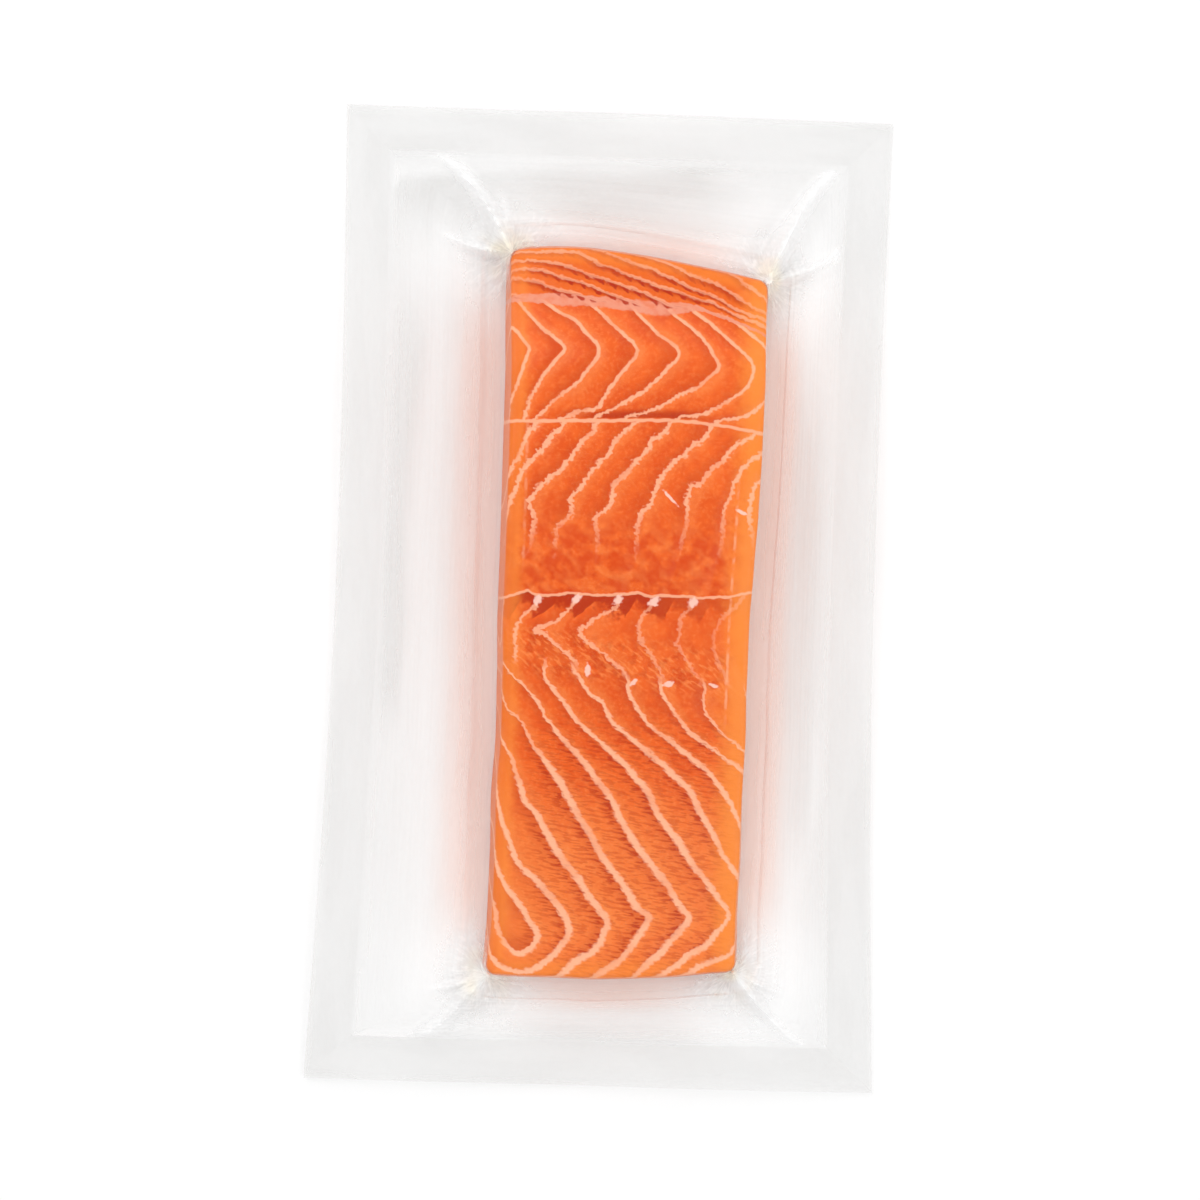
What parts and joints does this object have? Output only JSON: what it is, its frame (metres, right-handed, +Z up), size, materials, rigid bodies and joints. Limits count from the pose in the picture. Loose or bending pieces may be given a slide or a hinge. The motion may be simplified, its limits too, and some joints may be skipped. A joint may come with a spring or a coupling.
{
  "type": "vacuum packed salmon fillet portion",
  "caption": "Clear vacuum pouch drawn tight over a cut portion of salmon, with flat heat-sealed edges all round; lies flat.",
  "frame": {"origin": "under the middle of the pouch, on the surface that it lies on", "axes": "+X to the right seen from above, +Y towards the loin end, +Z up through the fish"},
  "size_m": [0.1516, 0.2538, 0.025],
  "materials": {
    "salmon_in_film": "glossy",
    "clear_film": "glossy"
  },
  "bodies": {
    "root": {"salmon_vacuum_pack": "salmon_in_film"}
  },
  "joints": []
}
